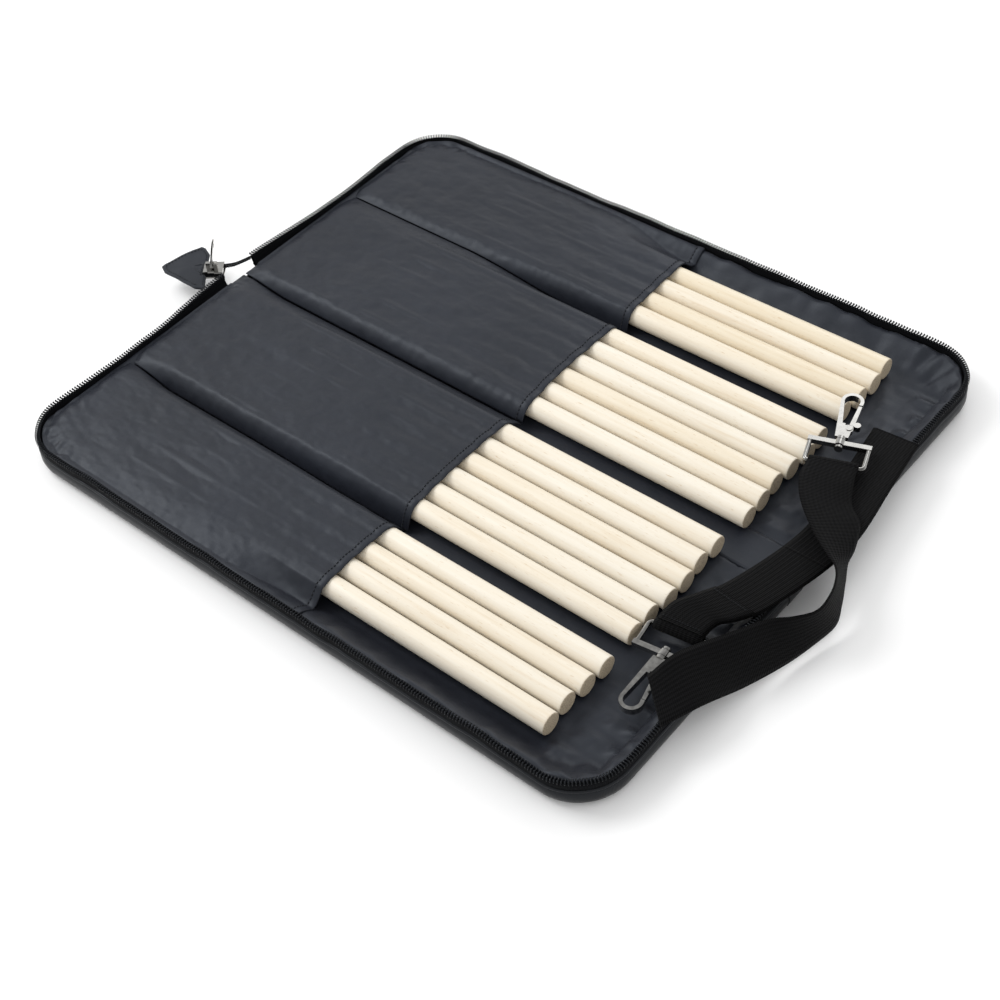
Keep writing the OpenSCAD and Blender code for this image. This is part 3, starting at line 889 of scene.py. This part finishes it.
def smooth_line(points):
    """A Catmull-Rom curve through the points, LINE_STEPS points to a station."""
    pts = np.array(points, float)
    ext = np.vstack([2 * pts[0] - pts[1], pts, 2 * pts[-1] - pts[-2]])
    fine = []
    for i in range(1, len(ext) - 2):
        p0, p1, p2, p3 = ext[i - 1:i + 3]
        for t in np.linspace(0, 1, LINE_STEPS, endpoint=False):
            fine.append(0.5 * (2 * p1 + (p2 - p0) * t + (2 * p0 - 5 * p1 + 4 * p2 - p3) * t * t
                               + (3 * p1 - p0 - 3 * p2 + p3) * t ** 3))
    fine.append(ext[-2])
    return np.array(fine)


def hook_point(strap, u, v, w):
    """A point given from the hook's bar: u towards the nose, v along the bar, w up."""
    at, turn, flipped = HOOKS[strap]
    if flipped:
        v, w = -v, -w
    c, q = math.cos(math.radians(turn)), math.sin(math.radians(turn))
    return np.array((at[0] + u * c - v * q, at[1] + u * q + v * c, at[2] + w))


def webbing_half_thickness(t):
    """Half the webbing's thickness at a share t of its width: the selvedges are rounded."""
    return 0.75 * (1 - abs(2 * t - 1) ** 8) ** 0.5 if 0 < t < 1 else 0.0


def webbing_piece(name, edge_a, edge_b, u_from):
    """Webbing between two edge lines: rounded selvedges, 1.5 mm thick."""
    n = len(edge_a)
    verts, uvs, run = [], [], u_from
    across = np.linspace(0, 1, 13)
    for i in range(n):
        a, b = edge_a[i], edge_b[i]
        i0, i1 = max(0, i - 1), min(n - 1, i + 1)
        along = (edge_a[i1] + edge_b[i1] - edge_a[i0] - edge_b[i0]) / 2
        if i:
            run += float(np.linalg.norm((edge_a[i] + edge_b[i] - edge_a[i - 1] - edge_b[i - 1]) / 2))
        normal = np.cross(b - a, along)
        normal /= max(np.linalg.norm(normal), 1e-9)
        width = float(np.linalg.norm(b - a))
        for ts, up in ((across, 1), (across[-2:0:-1], -1)):
            for t in ts:
                verts.append(a + (b - a) * t + normal * up * webbing_half_thickness(t))
                uvs.append((run, t * width))
    m = 2 * len(across) - 2
    ends = [tuple(range(m))[::-1], tuple((n - 1) * m + k for k in range(m))]
    return mesh_object(name, verts, grid_faces(n, m, True) + ends, WEBBING, uvs), run


def loop_around_bar(strap, name):
    """The end of the webbing, folded round the eye's bar and sewn back on itself."""
    steps, rows, edge = 26, 7, 0.25
    verts, uvs = [], []
    for r, round_off in ((3.55, -edge), (2.0, edge)):
        for i in range(steps + 1):
            a = 2 * math.pi * i / steps
            for j in range(rows):
                v = -WEBBING_HALF + 2 * WEBBING_HALF * j / (rows - 1)
                rr = r + (round_off if j in (0, rows - 1) else 0.0)
                verts.append(hook_point(strap, rr * math.cos(a), v, rr * math.sin(a)))
                uvs.append((r * a, v))
    n, last = (steps + 1) * rows, rows - 1
    faces = grid_faces(steps + 1, rows)
    faces += [tuple(n + q for q in f)[::-1] for f in grid_faces(steps + 1, rows)]
    for i in range(steps):
        a, b = i * rows, (i + 1) * rows
        faces.append((n + a, n + b, b, a))
        faces.append((a + last, b + last, n + b + last, n + a + last))
    return mesh_object(name, verts, faces, WEBBING, uvs)


def folded_end(strap, a, b):
    """The layer that is folded back and sewn on near the hook, and its two bartacks."""
    start, stop = len(a) - FOLDED_POINTS[strap], len(a) - 2
    at = range(start, stop)
    lift = []
    for i in at:
        n = np.cross(b[i] - a[i], a[i + 1] - a[i - 1])
        n *= (1 if (n[2] > 0) == (strap == "back_strap") else -1) / np.linalg.norm(n)
        lift.append(n * 1.55)
    inset = [(b[i] - a[i]) * 0.015 for i in at]
    edge_a = [a[i] + l + q for i, l, q in zip(at, lift, inset)]
    edge_b = [b[i] + l - q for i, l, q in zip(at, lift, inset)]
    fold, _ = webbing_piece(strap + "_folded_end", edge_a, edge_b, 0)
    tacks = []
    for k, f in enumerate((3, len(lift) - 5)):
        i = start + f
        row = [a[i] + (b[i] - a[i]) * t + lift[f] * 1.55 for t in np.linspace(0.08, 0.92, 12)]
        tacks.append(stitch_row(f"{strap}_bartack_{k}", row, 1.7, 0.3))
    return fold, tacks


def make_strap(strap, route, cut, bodies):
    """Both parts of one strap, cut where it passes over the spine."""
    a = smooth_line([p for p, _ in route])
    b = smooth_line([q for _, q in route])
    k = cut * LINE_STEPS
    first, run = webbing_piece(strap + "_webbing_base", a[:k + 1], b[:k + 1], 0)
    second, _ = webbing_piece(strap + "_webbing_end", a[k:], b[k:], run)
    loop = loop_around_bar(strap, strap + "_sewn_loop")
    fold, tacks = folded_end(strap, a, b)
    for ob, body in ((first, bodies[0]), (second, bodies[1])):
        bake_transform(ob)
    for ob in [loop, fold] + tacks:
        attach(ob, bodies[1])
    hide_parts(strap + "_base")
    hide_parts(strap + "_end")

    def length(lo, hi):
        mid = (a[lo:hi] + b[lo:hi]) / 2
        return float(np.linalg.norm(np.diff(mid, axis=0), axis=1).sum()) * MM


make_strap("back_strap", BACK_ROUTE, 3, ("back_half", "front_half"))
make_strap("front_strap", FRONT_ROUTE, 7, ("front_half", "back_half"))


# ------------------------------------------------------------------ the zip's end and its tab
def tail_point(x, y, z):
    """A point given in the zip's end, which is turned away from the bag's middle line."""
    c, s = math.cos(TAIL_TURN), math.sin(TAIL_TURN)
    return np.array((c * x - s * y, TAIL_Y + s * x + c * y, z))


def tail_line(s):
    """The middle of one tape, from the end of its half to the slider."""
    c, q = math.cos(TAIL_TURN), math.sin(TAIL_TURN)
    x0, y0 = c * s * (FOLD_X - 1.5), -q * s * (FOLD_X - 1.5)
    return smooth_line([(x0, y0, TAIL_Z + 0.8), (s * 3.6, (y0 + SLIDER_Y) / 2 + 1.5, TAIL_Z + 0.4),
                        (s * 2.4, SLIDER_Y + 1, TAIL_Z), (s * 1.9, SLIDER_Y + 4, TAIL_Z),
                        (s * 1.3, SLIDER_Y + 8, TAIL_Z), (s * 1.2, SLIDER_Y + 14.5, TAIL_Z)])


def tail_tape(s):
    # (outward, up) of the tape's section
    section = ((0.6, 0.3), (1.8, 0.42), (3.2, 0.35), (4.6, 0.1), (4.6, -0.35), (3.0, -0.4),
               (0.6, -0.3))
    line, m = tail_line(s), len(section)
    verts = [tail_point(p[0] + s * d, p[1], p[2] + h) for p in line for d, h in section]
    faces = grid_faces(len(line), m, True)
    faces += [tuple(range(m))[::-1], tuple((len(line) - 1) * m + k for k in range(m))]
    return verts, turned(faces, s > 0)


def tail_coil(s):
    """A rib every COIL_PITCH along the inner edge of one tape."""
    rib = ((-0.4, 0.2), (0.2, 1.0), (1.0, 1.25), (1.8, 0.7))
    section = ((0.6, 0.0), (0.3, 0.4), (-0.3, 0.4), (-0.6, 0.0))
    rib_faces = turned(grid_faces(4, 4) + [(3, 2, 1, 0), (12, 13, 14, 15)], s < 0)
    line = tail_line(s)
    verts, faces, run, following = [], [], 0.0, 0.6
    for i, l in enumerate(np.linalg.norm(np.diff(line, axis=0), axis=1)):
        run += l
        if run < following:
            continue
        following += COIL_PITCH
        d = (line[i + 1] - line[i]) / max(l, 1e-9)
        faces += [tuple(len(verts) + k for k in f) for f in rib_faces]
        for off, lift in rib:
            for a, b in section:
                verts.append(tail_point(line[i][0] + s * off + d[0] * a, line[i][1] + d[1] * a,
                                        line[i][2] + lift * 0.75 + b))
    return verts, faces


def both_sides(make_part):
    verts, faces = [], []
    for s in (-1, 1):
        v, f = make_part(s)
        faces += [tuple(len(verts) + k for k in q) for q in f]
        verts += v
    return verts, faces


def make_tail():
    tape = mesh_object("zip_end_tapes", *both_sides(tail_tape), TAPE)
    coil = mesh_object("zip_end_coil", *both_sides(tail_coil), COIL)
    for ob, slot_name, node in ((tape, "black_binding", "zip_tail_tape"),
                                (coil, "coil_teeth", "zip_tail_teeth")):
        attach(ob, "spine")
        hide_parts(node)


TAB_REAR = SLIDER_Y + 14
TAB_MID = np.array([4.0, TAB_REAR + 10])


def tab_droop(y):
    return 2.2 * smooth_step(TAB_REAR + 14, TAB_REAR + 32, y)


def tab_rim():
    """Points round the CAD tab's outline, about 2 mm apart."""
    outline = [(-20, -3), (-7, -2), (-7, 0.8), (7, 0.8), (7, -1), (18, -1), (25, 3), (27, 6),
               (12, 31), (9, 33), (3, 30), (-11, 14), (-19, 4)]
    outline = [(x, TAB_REAR + y) for x, y in outline]
    rim = []
    for (x0, y0), (x1, y1) in zip(outline, outline[1:] + outline[:1]):
        n = max(2, int(math.hypot(x1 - x0, y1 - y0) / 2.2))
        rim += [np.array((x0 + (x1 - x0) * k / n, y0 + (y1 - y0) * k / n)) for k in range(n)]
    return rim


def make_end_tab():
    """Folded cloth tab: a soft plate inside the CAD tab's outline, stitched near its edge."""
    # (share of the way out, height) of each ring, from the edge to the middle
    rings = ((1.0, 0.0), (1.0, 0.5), (0.985, 0.95), (0.93, 1.15), (0.8, 1.05), (0.55, 1.15),
             (0.3, 1.25), (0.08, 1.25))
    rim = tab_rim()
    rows, m, verts, faces = len(rings), len(rim), [], []
    for top in (1, -1):
        for k, h in rings:
            for p in rim:
                q = TAB_MID + (p - TAB_MID) * k
                soft = 0.35 * noise.noise(Vector((q[0] / 7, q[1] / 7, 4.0)))
                verts.append(tail_point(q[0], q[1], TAIL_Z + top * h + soft - tab_droop(q[1])))
    for layer in (0, 1):
        base = layer * rows * m
        grid = []
        for i in range(rows - 1):
            for j in range(m):
                a, b = base + i * m + j, base + i * m + (j + 1) % m
                grid.append((a, b, b + m, a + m))
        grid.append(tuple(base + (rows - 1) * m + j for j in range(m)))
        faces += turned(grid, layer == 1)
    tab = mesh_object("zip_end_cloth_tab", verts, faces, TAB)
    weld = tab.modifiers.new("join", "WELD")
    weld.merge_threshold = 0.00002
    apply_modifiers(tab)
    seam = [TAB_MID + (p - TAB_MID) * 0.86 for p in rim]
    row = [tail_point(q[0], q[1], TAIL_Z + 1.25 - tab_droop(q[1])) for q in seam]
    thread = stitch_row("zip_end_tab_stitches", row, 2.6, 0.26)
    for ob in (tab, thread):
        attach(ob, "spine")
    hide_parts("zip_end_tab")


make_tail()
make_end_tab()


# ------------------------------------------------------------------ CAD nodes that stay
def dress(name, material, bevel=0.0):
    """A material, and rounded edges, for a CAD node."""
    ob = nodes[name]
    for s in ob.material_slots:
        s.material = material
    if bevel:
        mod = ob.modifiers.new("edge", "BEVEL")
        mod.width, mod.segments = bevel * MM, 3
        mod.limit_method, mod.angle_limit = "ANGLE", math.radians(35)
        mod.harden_normals = True


dress("slider", NICKEL, 0.3)
dress("puller", NICKEL, 0.25)
for strap in HOOKS:
    dress(strap + "_eye", NICKEL, 0.45)
    dress(strap + "_hook_body", NICKEL, 0.9)
    dress(strap + "_hook_gate", NICKEL, 0.5)
    dress(strap + "_hook_rivet", NICKEL, 0.12)
    dress(strap + "_hook_spring", STEEL)
for i in range(STICK_COUNT):
    dress(f"stick_{i + 1}", MAPLE)


# ------------------------------------------------------------------ floor and light
def make_stage():
    m, t, s = new_material("pale_floor")
    patches = add_noise(t, place(t), 3.0, 2.0)
    colour = ramp(t, patches, [(0.0, grey(0.925)), (1.0, grey(0.945))])
    t.links.new(colour, s.inputs["Base Color"])
    s.inputs["Roughness"].default_value = 0.6
    data = bpy.data.meshes.new("floor")
    r = 6.0
    data.from_pydata([(-r, -r, 0), (r, -r, 0), (r, r, 0), (-r, r, 0)], [], [(0, 1, 2, 3)])
    floor = bpy.data.objects.new("floor", data)
    bpy.context.scene.collection.objects.link(floor)
    data.materials.append(m)
    floor.location.z = -0.0004  # just under the outer cloth
    world = bpy.data.worlds.new("studio")
    world.use_nodes = True
    background = world.node_tree.nodes["Background"]
    background.inputs[0].default_value = (1, 1, 1, 1)
    background.inputs[1].default_value = 0.92
    bpy.context.scene.world = world
    lamps = (("key", (-0.35, 1.2, 1.25), 0.9, 14), ("side", (1.4, 0.2, 1.0), 0.8, 5),
             ("front", (-1.1, -1.0, 1.3), 1.4, 0.8))
    for name, at, size, power in lamps:
        light = bpy.data.lights.new(name, "AREA")
        light.size, light.energy = size, power
        ob = bpy.data.objects.new(name, light)
        bpy.context.scene.collection.objects.link(ob)
        ob.location = at
        ob.rotation_euler = (-Vector(at)).to_track_quat("-Z", "Y").to_euler()
    bpy.context.scene.view_settings.view_transform = "Standard"


make_stage()
